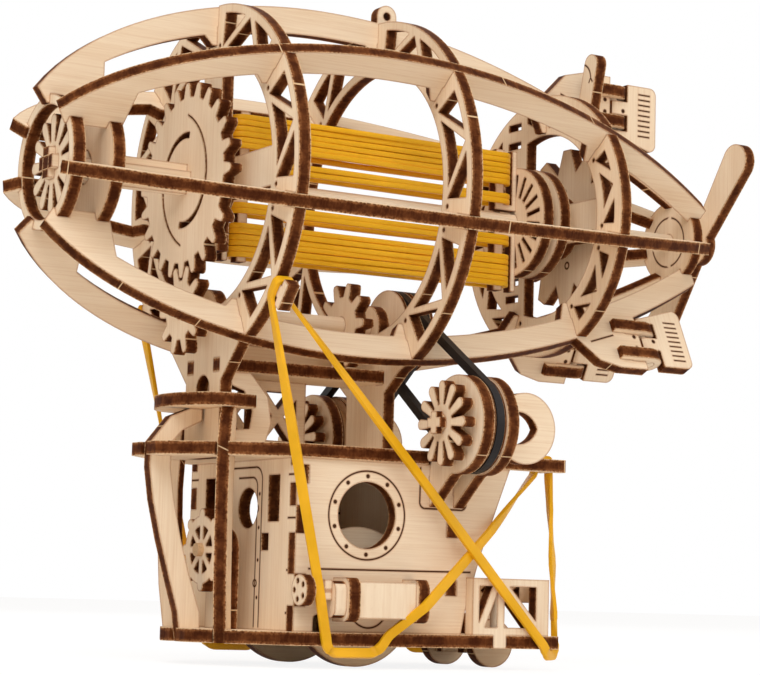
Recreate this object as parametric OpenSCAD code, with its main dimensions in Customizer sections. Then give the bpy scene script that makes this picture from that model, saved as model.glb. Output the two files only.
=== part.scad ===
// Laser-cut plywood airship with a rubber-band motor, twin side engines and a wheeled gondola.
// Millimetres, +Z up. The hull axis runs along X with the nose towards -X.
// The origin is on the ground, under the middle of the model's length.

/* [Plywood] */
// Thickness of every sheet
ply = 3; // [2.8:0.05:3.2]
// Gap on each side of a slot or a tab
fit = 0.05; // [0.03:0.01:0.1]
// Radial gap of a turning shaft in its hole
run = 0.06; // [0.02:0.01:0.1]

/* [Hull] */
// Height of the hull axis above the ground
axis_h = 109.4; // [108.5:0.1:111]
// Largest radius of the rib cage
hull_r_max = 44.5; // [43.5:0.1:46]
// Length of the ellipse that shapes the front of the ribs
nose_curve = 79.8; // [78.5:0.1:82]
// Length of the parabola that shapes the rear of the ribs
tail_curve = 127.9; // [126:0.1:132]
// Distance of the widest section behind the front ring
widest_x = 30; // [28:0.5:32]
// Nose tips of the ribs, ahead of the front ring
nose_x = -44.1; // [-45:0.1:-43.6]
// Tail ends of the ribs
tail_x = 137; // [136.9:0.1:138.5]
// Depth of a rib between the rings
rib_depth = 6.3; // [5.6:0.1:6.8]
// Depth of a rib at its teeth
tooth_depth = 9.5; // [8.6:0.1:10]
// Radial overlap of a rib and a ring
lap = 5; // [4:0.1:5.6]

/* [Rings] */
// Front face of the rear ring
ring_rear_x = 43.2; // [42.6:0.1:44]
// Front face of the tail ring
ring_tail_x = 93.5; // [93:0.1:94]
// Width of the two big rings
ring_w = 11.9; // [11:0.1:12.4]
// Width of the tail ring
ring_tail_w = 10; // [9.4:0.1:10.4]
// Width of the rims and struts left by the windows
strut = 2.1; // [1.8:0.05:2.4]
// Width of the rims and struts left by the tail ring's windows
tail_strut = 2.9; // [2.4:0.05:3.2]
// Radius of the nose ring and the nose disc
nose_seat_r = 15.2; // [14.8:0.1:15.6]
// Radius of the hole in the nose ring
nose_hole_r = 12.9; // [12.5:0.1:13.2]
// Radius of the tail disc
tail_disc_r = 10.5; // [10:0.1:11]

/* [Rotor] */
// Size of the gear teeth, pitch diameter over tooth count
gear_module = 1.765; // [1.74:0.005:1.78]
// Outer radius of the nose fan
nose_fan_r = 11.2; // [10.5:0.1:11.6]
// Width of the crossed axle blades
blade_w = 7; // [6.4:0.1:7.4]
// Radius of the main shaft
shaft_r = 2; // [1.8:0.05:2.1]
// Radius of the rear drum
drum_r = 13.6; // [13:0.1:14.2]
// Tip radius of the star wheel
star_r = 20.4; // [19.6:0.1:20.8]
// Length of a propeller blade from the axis
prop_r = 30; // [26:0.5:32]
// Propeller's front face
prop_x = 142.5; // [141:0.1:144]

/* [Engines] */
// Distance of an engine's axis from the middle plane
engine_y = 36; // [35.6:0.1:36.8]
// Depth of the engine axis below the hull axis
engine_drop = 54.5; // [54:0.1:55]
// Front face of the near engine's first plate
engine_x = 45.6; // [45.4:0.1:46]
// Radius of the engine plates
engine_plate_r = 11.2; // [10.8:0.1:11.4]
// Radius of the engine fans
engine_fan_r = 9.6; // [9:0.1:9.9]
// Middle radius of the belt on an engine pulley
engine_belt_r = 10; // [9.8:0.1:10.2]
// Middle radius of the belt on the layshaft pulley
lay_belt_r = 8.6; // [8.4:0.1:8.8]
// Thickness of the drive belts
belt_t = 2; // [1.6:0.1:2.1]

/* [Gondola] */
// Front face of the cabin
cabin_x = 11; // [10.6:0.1:11.4]
// Half of the cabin's outer width
cabin_y = 25.6; // [25.4:0.1:25.8]
// Depth of the deck's lower face below the hull axis
deck_drop = 63.3; // [63:0.1:63.5]
// Depth of the floor's lower face below the hull axis
floor_drop = 104.6; // [104.4:0.1:104.8]
// Half of the floor's width
floor_y = 28.6; // [28.4:0.1:28.8]
// Aft end of the floor
floor_end = 80.3; // [80:0.1:80.8]
// Radius of a porthole
porthole_r = 7.5; // [7:0.1:8]

/* [Wheels] */
// Radius of the main wheels
wheel_r = 15.8; // [15.4:0.1:16]
// Distance of a main wheel from the middle plane
wheel_y = 15; // [14.5:0.1:15.5]
// Radius of the tail wheels
tail_wheel_r = 5.7; // [5.6:0.05:5.8]
// Distance of a tail wheel from the middle plane
tail_wheel_y = 10; // [9.8:0.1:10.4]

/* [Hidden] */
$fn = 64;

birch = "#e6cfa8";
rubber_yellow = "#e0a512";
rubber_black = "#1c1b1a";

// The seven ribs, by angle above the near side's horizontal
rib_count = 7;
rib_step = 360 / rib_count;
function rib_angle(k) = 90 - k * rib_step;

// Outline of the rib cage along the hull
function hull_r(x) = x < widest_x
  ? hull_r_max * sqrt(1 - pow((widest_x - x) / nose_curve, 2))
  : hull_r_max * (1 - pow((x - widest_x) / tail_curve, 2));

slot_w = ply + 2 * fit;
prop_end_x = prop_x + ply + 1.5;
model_mid_x = (nose_x + prop_end_x) / 2;

ring_front_x = 0;
ring_front_r = hull_r(ring_front_x + ply / 2);
ring_rear_r = hull_r(ring_rear_x + ply / 2);
ring_tail_r = hull_r(ring_tail_x + ply / 2);

nose_ring_x = -41;
nose_disc_x = -31.5;
nose_inner_r = 13.1;
nose_step_x = nose_disc_x + ply + 0.3;
tail_disc_x = tail_x - ply - 0.2;

gear_teeth = 24;
pinion_teeth = 10;
gear_x = -6.6;
lay_drop = gear_module * (gear_teeth + pinion_teeth) / 2;
pinion_tip_r = gear_module * (pinion_teeth / 2 + 0.8);
boss_r = 5.4;
blade_corner_r = sqrt(pow(blade_w / 2, 2) + pow(ply / 2, 2));

// Rubber motor between the hooks of the front ring and those of the drum
hook_x = ring_front_x + ply;
drum_x = 84.6;
band_w = 2.4;
band_front_x = hook_x + 5;
band_rear_x = drum_x - 5;
band_half = 3.4;
band_t = 1.2;
band_rows = [5.2, 10, 12.7, 15.4];

bulkhead_x = ring_tail_x + ply;
bulkhead_reach = 28;
star_x = bulkhead_x + ply + 1.5;
lever_a = 77;
lever_pin_r = 1.6;
lever_pin_at = 27;

// Tail flaps and their hinges
flap_hinge_x = 115.3;
fin_top_r = 40.7;
fin_rear_x = 113.2;
bracket_front_x = 105;
bracket_lap_x = 109;
bracket_nose_r = 3;
bracket_half_w = 3.2;
bracket_low_r = 27.7;
bracket_high_r = 35.4;
hinge_pin_r = 1;
flap_end_x = 128;
flap_gap = 0.6;

belt_gap = ply + 0.6;
belt_side = 0.2;
belt_pitch = belt_t + 1.6;
belt_plane = [engine_x + ply + belt_gap / 2, engine_x + ply + belt_gap / 2 + belt_pitch];
pulley_rim = 0.8;
engine_end_x = engine_x + 2 * ply + belt_gap;
engine_shaft_r = 2;
engine_fan_x = engine_x - ply - 1;

deck_z = -deck_drop;
deck_top = deck_z + ply;
floor_z = -floor_drop;
floor_top = floor_z + ply;
wall_y = cabin_y - ply;
shelf_z = -lay_drop - pinion_tip_r - 0.6 - ply;
shelf_tab_y = 6.4;
shelf_tab_w = 3;
collar_z = -52.2;
stalk_y = 8.5;
stalk_tab_y = 6;
stalk_window_r = 3.2;
truss_y = 5.2;

porthole = [29.2, -75.5];
wheel_x = 32.5;
wheel_z = wheel_r - axis_h;
axle_r = 2;
tail_wheel_x = 73.5;
tail_wheel_z = tail_wheel_r - axis_h;
tail_axle_r = 1.2;
wheel_gap = 0.5;
cord_r = 1;
rig_hook_a = -39.5;
rig_neck = 1.5;
rig_reach = 3.4;
rig_head = 6.6;
rig_head_t = 2.2;

// The whole model is drawn from the front ring's face on the hull axis, then set on the ground
module placed() translate([-model_mid_x, 0, axis_h]) children();

// Plates by the axis they face: the first number is where the plate starts
module plate_x(x, h = ply) translate([x, 0, 0]) rotate([90, 0, 90]) linear_extrude(h) children();
module plate_y(y, h = ply) translate([0, y + h, 0]) rotate([90, 0, 0]) linear_extrude(h) children();
module plate_z(z, h = ply) translate([0, 0, z]) linear_extrude(h) children();

module rod_x(x0, x1, r) translate([x0, 0, 0]) rotate([0, 90, 0]) cylinder(h = x1 - x0, r = r);
module rod_y(y0, y1, r) translate([0, y0, 0]) rotate([-90, 0, 0]) cylinder(h = y1 - y0, r = r);

// Ribs: one outline each, with teeth that straddle the rings
tooth_near = 1.4;
tooth_far = 3.4;
nose_slant = 2.4;
lug_x = 45.6;
lug_z = 46;
lug_r = 2.7;
lug_eye_r = 1;

function arc(c, r, from, to, steps = 6) =
  [for (i = [0:steps]) let (a = from + (to - from) * i / steps) c + r * [cos(a), sin(a)]];
function reversed(list) = [for (i = [len(list) - 1:-1:0]) list[i]];

function outer_span(from, to, steps) =
  [for (i = [0:steps]) let (x = from + (to - from) * i / steps) [x, hull_r(x)]];
function inner_span(from, to, steps) =
  [for (p = outer_span(from, to, steps)) [p[0], p[1] - rib_depth]];
function inner_tooth(x) = let (r = hull_r(x + ply / 2) - tooth_depth)
  [[x - tooth_near, r], [x + ply + tooth_near, r]];

rib_inner = concat(
  inner_span(nose_step_x, ring_front_x - tooth_far, 8), inner_tooth(ring_front_x),
  inner_span(ring_front_x + ply + tooth_far, ring_rear_x - tooth_far, 12), inner_tooth(ring_rear_x),
  inner_span(ring_rear_x + ply + tooth_far, ring_tail_x - tooth_far, 14), inner_tooth(ring_tail_x),
  inner_span(ring_tail_x + ply + tooth_far, tail_x, 12)
);
lug_outline = arc([lug_x, lug_z], lug_r, 180, 0, 16);
fin_outline = [[99, 39.2], [105, fin_top_r], [fin_rear_x, fin_top_r]];

function rib_outline(lug, fin) = concat(
  outer_span(nose_x, lug_x - lug_r, 34), lug ? lug_outline : [],
  outer_span(lug_x + lug_r, ring_tail_x, 16), fin ? fin_outline : [],
  outer_span(fin ? fin_rear_x : ring_tail_x + 1, tail_x, 14), reversed(rib_inner),
  [[nose_step_x, nose_inner_r], [nose_x + nose_slant, nose_inner_r]]
);

module rib_slot(x, top_r) translate([x - fit, 0]) square([slot_w, top_r]);

module rib(k, lug = false, fin = false) {
  placed() rotate([180 - rib_angle(k), 0, 0]) color(birch) linear_extrude(ply, center = true) difference() {
    polygon(rib_outline(lug, fin));
    rib_slot(ring_front_x, ring_front_r - lap);
    rib_slot(ring_rear_x, ring_rear_r - lap);
    rib_slot(ring_tail_x, ring_tail_r - lap);
    rib_slot(nose_ring_x, nose_seat_r);
    rib_slot(nose_disc_x, nose_seat_r);
    translate([tail_disc_x - fit, 0]) square([tail_x, tail_disc_r]);
    if (lug) translate([lug_x, lug_z]) circle(lug_eye_r);
    if (fin) for (r = [bracket_low_r, bracket_high_r])
      translate([bracket_lap_x, r - fit]) square([fin_rear_x, slot_w]);
  }
}

module rib_top() rib(0, lug = true, fin = true);
module rib_upper_near() rib(1);
module rib_near() rib(2);
module rib_lower_near() rib(3, fin = true);
module rib_lower_far() rib(4, fin = true);
module rib_far() rib(5);
module rib_upper_far() rib(6);

// Rings with truss windows between the ribs
function polar(r, a) = [-r * cos(a), r * sin(a)];

// Three triangles between two ribs; the ring's bottom stays closed, and a boss takes one window's place
module ring_windows(ro, ri, rim, boss = false) {
  lo = ri + rim;
  hi = ro - rim;
  edge_a = 7.5;
  half = rib_step / 2 - edge_a;
  slant = 1.25 * rim;
  lo_a = slant / lo * 180 / PI;
  hi_a = slant / hi * 180 / PI;
  for (k = [0:rib_count - 1]) if (k != 3) {
    middle = rib_angle(k) - rib_step / 2;
    for (s = [-1, 1]) if (!(boss && k == 0 && s == 1)) polygon(concat(
      [polar(lo, middle + s * half)],
      [for (i = [0:4]) polar(hi, middle + s * (half + (hi_a - half) * i / 4))]
    ));
    polygon(concat([for (i = [-4:4]) polar(lo, middle + (half - lo_a) * i / 4)], [polar(hi, middle)]));
  }
}

module rib_notches(ro, keep_r) {
  for (k = [0:rib_count - 1]) rotate(180 - rib_angle(k))
    translate([keep_r, -slot_w / 2]) square([ro, slot_w]);
}

module pin_dots(r) {
  side = 2.7;
  dot_r = 0.55;
  for (k = [0:rib_count - 1], s = [-1, 1]) rotate(180 - rib_angle(k))
    translate([r, s * side]) circle(dot_r, $fn = 8);
}

module ring_2d(ro, w, boss = false) {
  difference() {
    circle(ro, $fn = 180);
    circle(ro - w, $fn = 180);
    ring_windows(ro, ro - w, strut, boss);
    rib_notches(ro, ro - lap);
    pin_dots(ro - w + 2.2);
  }
}

// Stalk below a ring that carries the gondola, with the layshaft's bearing
module stalk_2d(ro, w) {
  flare = 17;
  polygon([
    [-stalk_y, deck_top], [stalk_y, deck_top], [stalk_y, -46], [flare, -ro * 0.905],
    [stalk_y, -ro + w - 1], [-stalk_y, -ro + w - 1], [-flare, -ro * 0.905], [-stalk_y, -46]
  ]);
  translate([0, -lay_drop]) circle(boss_r);
  translate([-stalk_tab_y, deck_z]) square([2 * stalk_tab_y, ply + 1]);
}

module stalk_holes_2d() {
  translate([0, -lay_drop]) circle(shaft_r + run);
  for (s = [-1, 1]) translate([s * shelf_tab_y - shelf_tab_w / 2 - fit, shelf_z - fit])
    square([shelf_tab_w + 2 * fit, slot_w]);
}

module ring_front() placed() color(birch) plate_x(ring_front_x) {
  arm = 4.5;
  hub = 8;
  difference() {
    union() {
      ring_2d(ring_front_r, ring_w);
      stalk_2d(ring_front_r, ring_w);
      circle(hub);
      square([2 * (ring_front_r - ring_w + 1), 2 * arm], center = true);
      translate([-arm, 0]) square([2 * arm, ring_front_r - ring_w + 1]);
      translate([-arm, -16]) square([2 * arm, 16]);
      for (s = [-1, 1]) scale([s, 1]) rig_hook_2d(ring_front_r, rig_hook_a);
    }
    circle(shaft_r + run);
    stalk_holes_2d();
    rib_notches(ring_front_r, ring_front_r - lap);
    translate([0, -47.6]) circle(stalk_window_r);
  }
}

// Cleat on the front ring's rim for the rigging band
module rig_hook_2d(ro, a) rotate(180 - a) {
  translate([ro - 2, -rig_neck]) square([rig_reach + 2.5, 2 * rig_neck]);
  translate([ro + rig_reach, -rig_head / 2]) square([rig_head_t, rig_head]);
}

module ring_rear() placed() color(birch) plate_x(ring_rear_x) difference() {
  union() {
    ring_2d(ring_rear_r, ring_w);
    stalk_2d(ring_rear_r, ring_w);
  }
  stalk_holes_2d();
  rib_notches(ring_rear_r, ring_rear_r - lap);
}

// The tail ring has a web on its far side and carries the brake lever's pin
module ring_tail() placed() color(birch) plate_x(ring_tail_x) {
  web = [7, 18];
  web_slots = [27, 22.2, -13.1, -17.4];
  slot_at = 12.4;
  slot = [5.6, 1.8];
  difference() {
    circle(ring_tail_r, $fn = 180);
    difference() {
      circle(ring_tail_r - ring_tail_w, $fn = 180);
      translate([web[0], -ring_tail_r]) square([web[1] - web[0], 2 * ring_tail_r]);
    }
    difference() {
      ring_windows(ring_tail_r, ring_tail_r - ring_tail_w, tail_strut, true);
      translate([web[0], 0]) square([web[1] - web[0], ring_tail_r]);
    }
    rib_notches(ring_tail_r, ring_tail_r - lap);
    pin_dots(ring_tail_r - ring_tail_w + 2.2);
    for (z = web_slots) translate([slot_at - slot[0] / 2, z - slot[1] / 2]) square(slot);
    translate(polar(lever_pin_at, lever_a)) circle(lever_pin_r + fit);
  }
}

module nose_ring() placed() color(birch) plate_x(nose_ring_x) difference() {
  circle(nose_seat_r);
  circle(nose_hole_r);
}

module nose_disc() placed() color(birch) plate_x(nose_disc_x) difference() {
  circle(nose_seat_r);
  circle(blade_corner_r + run);
}

// Bar across the back of the tail ring with the main shaft's bearing
module tail_bulkhead() placed() color(birch) plate_x(bulkhead_x) {
  bar = 5;
  hub = 8;
  clear = 0.4;
  rise = asin(bar / hub);
  difference() {
    polygon(concat(
      arc([0, 0], hub, 180 - rise, rise, 12), [[bulkhead_reach, bar], [bulkhead_reach, -bar]],
      arc([0, 0], hub, -rise, rise - 180, 12), [[-bulkhead_reach, -bar], [-bulkhead_reach, bar]]
    ));
    circle(shaft_r + run);
    for (k = [0:rib_count - 1]) rotate(180 - rib_angle(k))
      translate([ring_tail_r - tooth_depth - clear, -ply / 2 - clear])
        square([bulkhead_reach, ply + 2 * clear]);
  }
}

module tail_disc() placed() color(birch) plate_x(tail_disc_x) difference() {
  circle(tail_disc_r);
  circle(shaft_r + run);
}

// Rubber motor
module hook_2d() {
  post = 2.4;
  back = 1.3;
  lip = 1.4;
  low = band_rows[0] - band_w / 2 - lip - fit;
  high = band_rows[3] + band_w / 2 + 1;
  translate([0, low]) square([back, high - low]);
  translate([0, low]) square([band_front_x - hook_x + post / 2, lip]);
  translate([band_front_x - hook_x - post / 2, low]) square([post, high - low]);
}

module front_hooks() placed() color(birch) for (s = [0, 1]) mirror([0, 0, s])
  plate_y(-ply / 2) translate([hook_x, 0]) hook_2d();

module rear_hooks() placed() color(birch) for (s = [0, 1]) mirror([0, 0, s])
  plate_y(-ply / 2) translate([drum_x, 0]) mirror([1, 0]) hook_2d();

module band_loop_2d(r) {
  translate([band_front_x, -r]) square([band_rear_x - band_front_x, 2 * r]);
  translate([band_front_x, 0]) circle(r);
  translate([band_rear_x, 0]) circle(r);
}

module motor_bands() placed() color(rubber_yellow) for (s = [0, 1], row = band_rows)
  mirror([0, 0, s]) plate_z(row - band_w / 2, band_w) difference() {
    band_loop_2d(band_half);
    band_loop_2d(band_half - band_t);
  }

// Rotor on the hull axis
tooth_flank = [[-1.1, 0.31], [-0.2, 0.225], [0.5, 0.165], [0.8, 0.09]];
function tooth_profile() = concat(
  [for (p = tooth_flank) [p[0], -p[1]]], reversed(tooth_flank)
);

// Each tooth's points by height over the pitch circle, in modules, and by share of the tooth's pitch
module gear_2d(teeth) {
  step = 360 / teeth;
  polygon([for (i = [0:teeth - 1], p = tooth_profile())
    let (r = gear_module * (teeth / 2 + p[0]), a = (i + p[1]) * step) r * [cos(a), sin(a)]]);
}

// Narrow petals with round ends on a small hub
module fan_2d(r) {
  petals = 12;
  hub = 0.44 * r;
  root = 0.085 * r;
  tip = 0.125 * r;
  petal = concat([[hub, -root]], arc([r - tip, 0], tip, -90, 90), [[hub, root]]);
  polygon([for (i = [0:petals - 1], p = petal)
    let (a = i * 360 / petals) [p[0] * cos(a) - p[1] * sin(a), p[0] * sin(a) + p[1] * cos(a)]]);
}

module blade_cross_2d(gap) {
  square([blade_w + 2 * gap, ply + 2 * gap], center = true);
  square([ply + 2 * gap, blade_w + 2 * gap], center = true);
}

nose_fan_x = nose_ring_x + 1.7;
axle_front_x = nose_fan_x - 1.6;

module nose_fan() placed() color(birch) plate_x(nose_fan_x) difference() {
  fan_2d(nose_fan_r);
  blade_cross_2d(fit);
}

module axle_blade(slot_from, slot_to) difference() {
  translate([axle_front_x, -blade_w / 2]) square([gear_x - axle_front_x, blade_w]);
  translate([slot_from, -slot_w / 2]) square([slot_to - slot_from, slot_w]);
}

module front_axle() placed() color(birch) {
  middle = (axle_front_x + gear_x) / 2;
  plate_y(-ply / 2) axle_blade(middle - fit, gear_x + 1);
  plate_z(-ply / 2) axle_blade(axle_front_x - 1, middle + fit);
}

// Long crescent cut, thick at one end, that swings outward over half a turn
module crescent_2d() {
  steps = 20;
  start_a = -101;
  sweep = 188;
  start_r = 10.4;
  swing = 4.7;
  thick = 0.75;
  thin = 0.2;
  edge = [for (i = [0:steps]) let (t = i / steps)
    [start_a + sweep * t, start_r + swing * pow(t, 4), thick + (thin - thick) * t]];
  polygon(concat(
    [for (e = edge) polar(e[1] + e[2], e[0])],
    [for (e = reversed(edge)) polar(e[1] - e[2], e[0])]
  ));
}

module drive_gear() placed() color(birch) plate_x(gear_x) difference() {
  gear_2d(gear_teeth);
  circle(shaft_r + fit);
  for (turn = [0, 180]) rotate(turn) crescent_2d();
}

module main_shaft() placed() color(birch) rod_x(gear_x, prop_end_x, shaft_r);

module rear_drum() placed() color(birch) difference() {
  layer_gap = 2;
  hub = 6;
  rays = 20;
  ray = [5.4, 1];
  union() {
    rod_x(drum_x, drum_x + ply, drum_r);
    rod_x(drum_x + ply, drum_x + ply + layer_gap, hub);
    rod_x(drum_x + ply + layer_gap, drum_x + 2 * ply + layer_gap, drum_r);
  }
  rod_x(drum_x - 1, drum_x + 3 * ply + layer_gap, shaft_r + fit);
  plate_x(drum_x - 1, ply + 1) for (i = [0:rays - 1]) rotate((i + 0.5) * 360 / rays)
    translate([hub + 0.4, -ray[1] / 2]) square(ray);
}

module star_wheel() placed() color(birch) plate_x(star_x) difference() {
  points = 12;
  valley = 14.6;
  tip = 4.4;
  polygon([for (i = [0:points - 1], p = [[valley, -15], [star_r, -tip], [star_r, tip]])
    [p[0] * cos(i * 30 + p[1]), p[0] * sin(i * 30 + p[1])]]);
  circle(shaft_r + fit);
}

module propeller() placed() color(birch) plate_x(prop_x) difference() {
  blade_a = 52;
  hub = 5;
  tip_r = 4.6;
  union() {
    circle(hub);
    for (s = [0, 180]) rotate(180 - blade_a + s) {
      polygon([[2, -2.6], [prop_r - tip_r, -tip_r], [prop_r - tip_r, tip_r], [2, 2.6]]);
      translate([prop_r - tip_r, 0]) circle(tip_r);
    }
  }
  circle(shaft_r + fit);
}

// Brake lever over the star wheel
module brake_lever() placed() color(birch) plate_x(star_x) translate(polar(lever_pin_at, lever_a))
  rotate(180 - lever_a) difference() {
    boss = 3.4;
    arm = 2.6;
    reach = 14.8;
    union() {
      circle(boss);
      translate([0, -arm]) square([reach, 2 * arm]);
      translate([reach, 0]) circle(arm);
    }
    circle(lever_pin_r + run);
  }

module lever_pin() placed() color(birch) {
  head_r = 2.6;
  at = polar(lever_pin_at, lever_a);
  translate([0, at[0], at[1]]) {
    rod_x(ring_tail_x, star_x + ply + 0.3, lever_pin_r);
    rod_x(star_x + ply + 0.3, star_x + ply + 1.5, head_r);
  }
}

// Tail flaps: each turns on a pin between two brackets slotted onto its fin
fin_ribs = [0, 3, 4];
module on_rib(k) rotate([180 - rib_angle(k), 0, 0]) children();
module plate_r(r, h = ply) translate([0, r, 0]) rotate([-90, 0, 0]) linear_extrude(h) children();

module bracket_2d() difference() {
  eye = 1.7;
  union() {
    translate([bracket_front_x, -bracket_half_w])
      square([flap_hinge_x - bracket_front_x, 2 * bracket_half_w]);
    translate([flap_hinge_x, 0]) circle(bracket_nose_r);
  }
  translate([bracket_front_x - 1, -slot_w / 2]) square([bracket_lap_x - bracket_front_x + 1, slot_w]);
  translate([flap_hinge_x, 0]) circle(hinge_pin_r + fit);
  translate([bracket_lap_x + 1.2, -eye / 2]) square(eye);
}

module hinge_brackets() placed() color(birch) for (k = fin_ribs, r = [bracket_low_r, bracket_high_r])
  on_rib(k) plate_r(r) bracket_2d();

module hinge_pins() placed() color(birch) for (k = fin_ribs) on_rib(k)
  plate_r(bracket_low_r, bracket_high_r + ply - bracket_low_r)
    translate([flap_hinge_x, 0]) circle(hinge_pin_r);

module flap(k) placed() color(birch) on_rib(k) {
  root_r = 25.7;
  low_r = 22.6;
  top_r = 39.4;
  corner = 2;
  under = bracket_low_r - flap_gap;
  low = bracket_low_r + ply + flap_gap;
  high = bracket_high_r - flap_gap;
  back = flap_hinge_x + bracket_nose_r + 0.5;
  difference() {
    union() {
      linear_extrude(ply, center = true) polygon(concat(
        [[flap_hinge_x, root_r], [flap_hinge_x, under], [back, under], [back, low]],
        [[flap_hinge_x, low], [flap_hinge_x, high], [back, high], [back, top_r]],
        arc([flap_end_x - corner, top_r - corner], corner, 90, 0),
        arc([flap_end_x - corner, low_r + corner], corner, 0, -90)
      ));
      for (r = [[root_r, under], [low, high]]) plate_r(r[0], r[1] - r[0])
        translate([flap_hinge_x, 0]) circle(ply / 2);
    }
    plate_r(root_r - 1, high - root_r + 2) translate([flap_hinge_x, 0]) circle(hinge_pin_r + run);
  }
}
module flap_top() flap(0);
module flap_near() flap(3);
module flap_far() flap(4);

// Layshaft under the drive gear
module on_lay() placed() translate([0, 0, -lay_drop]) children();
lay_gear_x = 36;
lay_rim_r = lay_belt_r + 1;
lay_pulley_x = belt_plane[0] - belt_t / 2 - belt_side - pulley_rim;
lay_pulley_end = belt_plane[1] + belt_t / 2 + belt_side + pulley_rim;

module layshaft() on_lay() color(birch) rod_x(gear_x - 1, lay_pulley_end + 1, shaft_r);

module lay_toothed(x) on_lay() color(birch) plate_x(x) difference() {
  gear_2d(pinion_teeth);
  circle(shaft_r + fit);
}
module lay_pinion() lay_toothed(gear_x);
module lay_gear() lay_toothed(lay_gear_x);

// A groove of a belt's width, as deep as the belt's inner side
module groove_x(plane, belt_r, rim_r) {
  half = belt_t / 2 + belt_side;
  difference() {
    rod_x(plane - half, plane + half, rim_r + 1);
    rod_x(plane - half - 1, plane + half + 1, belt_r - belt_t / 2 - 0.1);
  }
}

module lay_pulley() on_lay() color(birch) difference() {
  rod_x(lay_pulley_x, lay_pulley_end, lay_rim_r);
  rod_x(lay_pulley_x - 1, lay_pulley_end + 1, shaft_r + fit);
  for (plane = belt_plane) groove_x(plane, lay_belt_r, lay_rim_r);
}

module belt_outline(side, grow) hull() {
  translate([0, -lay_drop]) circle(lay_belt_r + grow, $fn = 48);
  translate([side * engine_y, -engine_drop]) circle(engine_belt_r + grow, $fn = 48);
}

module belt(side, plane) placed() color(rubber_black) plate_x(plane - belt_t / 2, belt_t) difference() {
  belt_outline(side, belt_t / 2);
  belt_outline(side, -belt_t / 2);
}
module belt_near() belt(-1, belt_plane[0]);
module belt_far() belt(1, belt_plane[1]);

// Side engines: the far one sits one belt pitch further aft
arm_tab_top = -66;
arm_tab_h = 4;
module engine_shift(side) translate([side > 0 ? belt_pitch : 0, 0, 0]) children();

module engine_plate_2d(side) scale([side, 1]) difference() {
  union() {
    translate([engine_y, -engine_drop]) circle(engine_plate_r);
    polygon([
      [cabin_y, deck_z - 0.4], [cabin_y, deck_z - 9.6], [34, -66], [engine_y + 6, -engine_drop - 8],
      [engine_y, -engine_drop], [28, -58]
    ]);
    translate([wall_y, arm_tab_top - arm_tab_h]) square([ply + 1, arm_tab_h]);
  }
  translate([engine_y, -engine_drop]) circle(engine_shaft_r + run);
}

module engine_plates() placed() color(birch) for (side = [-1, 1]) engine_shift(side)
  for (x = [engine_x, engine_x + ply + belt_gap]) plate_x(x) engine_plate_2d(side);

module engine_tails() placed() color(birch) for (side = [-1, 1]) engine_shift(side)
  plate_y(side * engine_y - ply / 2) translate([engine_end_x + fit, -engine_drop]) difference() {
    tail_r = 8.2;
    eye_at = 6.4;
    eye_r = 5.6;
    eye_lift = 1.9;
    union() {
      translate([tail_r + 0.3, 0]) circle(tail_r);
      translate([0, -4]) square([4, 8]);
    }
    intersection() {
      translate([eye_at, eye_lift]) circle(eye_r);
      translate([eye_at, -eye_lift]) circle(eye_r);
    }
  }

module engine_rotor(side) placed() engine_shift(side) color(birch)
  translate([0, side * engine_y, -engine_drop]) {
    end = 2;
    side_gap = 0.2;
    pulley_x = engine_x + ply + side_gap;
    pulley_end = engine_x + ply + belt_gap - side_gap;
    rim = engine_belt_r + belt_t / 2 - 0.2;
    rod_x(engine_fan_x - 0.4, engine_end_x - side_gap, engine_shaft_r);
    plate_x(engine_fan_x - end, end - 0.4 + fit) {
      square([5, 2.2], center = true);
      square([2.2, 5], center = true);
    }
    plate_x(engine_fan_x) difference() {
      fan_2d(engine_fan_r);
      circle(engine_shaft_r + fit);
    }
    difference() {
      rod_x(pulley_x, pulley_end, rim);
      rod_x(pulley_x - 1, pulley_end + 1, engine_shaft_r + fit);
      groove_x(belt_plane[0], engine_belt_r, rim);
    }
  }
module engine_near() engine_rotor(-1);
module engine_far() engine_rotor(1);

// Neck between the hull and the gondola
module neck_shelf() placed() color(birch) plate_z(shelf_z) {
  half = stalk_y;
  translate([ring_front_x + ply, -half]) square([ring_rear_x - ring_front_x - ply, 2 * half]);
  for (s = [-1, 1], x = [ring_front_x, ring_rear_x - 1])
    translate([x, s * shelf_tab_y - shelf_tab_w / 2]) square([ply + 1, shelf_tab_w]);
}

module x_cell(x, z, w, h) {
  bar = 1.6;
  for (q = [[[bar, 0], [w - bar, 0], [w / 2, h / 2 - bar]], [[bar, h], [w - bar, h], [w / 2, h / 2 + bar]],
            [[0, bar], [0, h - bar], [w / 2 - bar, h / 2]], [[w, bar], [w, h - bar], [w / 2 + bar, h / 2]]])
    translate([x, z]) polygon(q);
}

module neck_truss() placed() color(birch) {
  end_x = 30;
  frame = 2.5;
  start = ring_front_x + ply;
  cell_w = (end_x - start - 3 * frame) / 2;
  plate_y(truss_y) difference() {
    translate([start, deck_top]) square([end_x - start, shelf_z - deck_top]);
    for (i = [0, 1]) x_cell(start + frame + i * (cell_w + frame), deck_top + frame,
      cell_w, shelf_z - deck_top - 2 * frame);
  }
  plate_y(-truss_y - ply) polygon([
    [start, deck_top], [12, deck_top], [13.6, -55], [12.6, -49], [8, shelf_z], [start, shelf_z],
    [start, shelf_z - 3], [6.4, -48], [8.6, -52.5], [8, -56.5], [start, -57]
  ]);
}

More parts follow.
